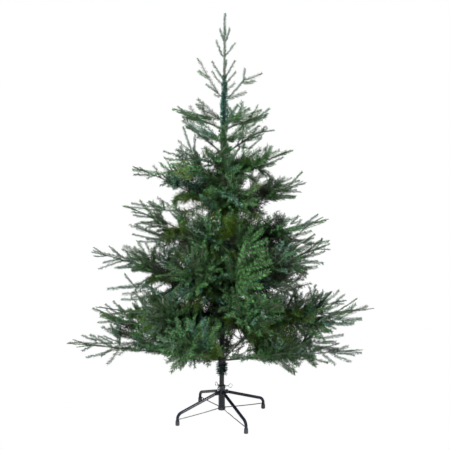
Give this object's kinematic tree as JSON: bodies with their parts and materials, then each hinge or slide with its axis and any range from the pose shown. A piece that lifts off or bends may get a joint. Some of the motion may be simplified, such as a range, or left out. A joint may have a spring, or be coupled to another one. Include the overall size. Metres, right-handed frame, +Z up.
{
  "type": "artificial christmas tree",
  "caption": "Full conical artificial Christmas tree with moulded fir needles on wire boughs, round a slim steel pole on a low folding steel stand.",
  "frame": {"origin": "centre of the stand on the floor, under the pole", "axes": "+Z up along the pole, front at -Y, +X to the right seen from the front"},
  "size_m": [1.3409, 1.1088, 1.8],
  "materials": {
    "pole_enamel": "green-black enamel, satin",
    "stand_enamel": "blue-black enamel, satin",
    "black_plastic": "moulded, matt",
    "zinc": "zinc plated",
    "wrapped_wire": "steel wire wrapped in dark brown tape",
    "needles": "moulded and cut soft plastic needles, matt",
    "upper_needles": "moulded soft plastic needles, matt, a little bluer"
  },
  "bodies": {
    "root": {"pole": "pole_enamel", "stand_sleeve": "stand_enamel", "stand_base_cap": "black_plastic", "stand_top_ring": "black_plastic", "leg_1": "stand_enamel", "leg_2": "stand_enamel", "leg_3": "stand_enamel", "leg_4": "stand_enamel", "foot_cap_1": "black_plastic", "foot_cap_2": "black_plastic", "foot_cap_3": "black_plastic", "foot_cap_4": "black_plastic", "brace_1": "stand_enamel", "brace_2": "stand_enamel", "brace_3": "stand_enamel", "brace_4": "stand_enamel", "eye_bolt_1": "zinc", "eye_bolt_2": "zinc", "eye_bolt_3": "zinc", "bough_1_1": "wrapped_wire", "bough_1_2": "wrapped_wire", "bough_1_3": "wrapped_wire", "bough_1_4": "wrapped_wire", "bough_1_5": "wrapped_wire", "bough_1_6": "wrapped_wire", "needles_1_1": "needles", "needles_1_2": "needles", "needles_1_3": "needles", "needles_1_4": "needles", "needles_1_5": "needles", "needles_1_6": "needles", "needles_2_1": "needles", "needles_2_2": "needles", "needles_2_3": "needles", "needles_2_4": "needles", "needles_2_5": "needles", "needles_3_1": "needles", "needles_3_2": "needles", "needles_3_3": "needles", "needles_3_4": "needles", "needles_3_5": "needles", "needles_4_1": "needles", "needles_4_2": "needles", "needles_4_3": "needles", "needles_4_4": "needles", "needles_5_1": "needles", "needles_5_2": "needles", "needles_5_3": "needles", "needles_5_4": "needles", "needles_6_1": "needles", "needles_6_2": "needles", "needles_6_3": "needles", "needles_6_4": "needles", "needles_7_1": "needles", "needles_7_2": "needles", "needles_7_3": "needles", "needles_8_1": "needles", "needles_8_2": "needles", "needles_8_3": "needles", "needles_leader": "upper_needles"}
  },
  "joints": []
}
